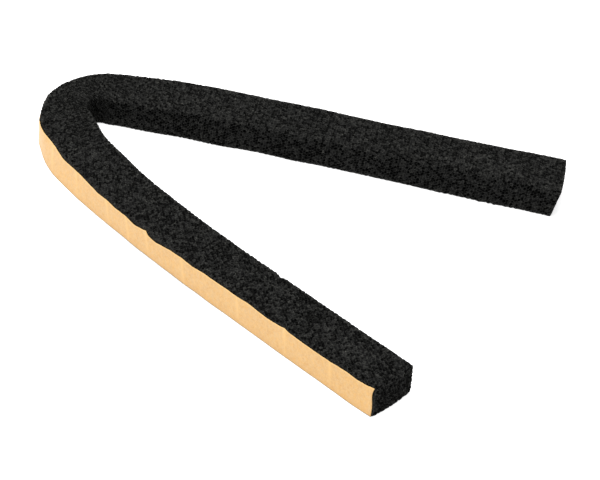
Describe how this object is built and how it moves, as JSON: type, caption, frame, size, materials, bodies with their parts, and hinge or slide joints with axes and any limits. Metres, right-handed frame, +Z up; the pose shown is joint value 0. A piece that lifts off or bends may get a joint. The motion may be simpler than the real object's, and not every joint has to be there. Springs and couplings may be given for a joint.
{
  "type": "foam seal tape",
  "caption": "Thick self-adhesive open-cell foam seal tape with its paper release liner on, one cut length bent back on itself into a narrow V, standing on its slit edge.",
  "frame": {"origin": "on the floor, under the middle of the tape's plan box", "axes": "+X along the straight far leg, away from the bend; +Y out of that leg's liner; +Z up across the tape's width"},
  "size_m": [0.2104, 0.1568, 0.012],
  "materials": {
    "foam": "matte",
    "release_paper": "satin"
  },
  "bodies": {
    "root": {"foam_strip": "foam", "release_liner": "release_paper"}
  },
  "joints": []
}
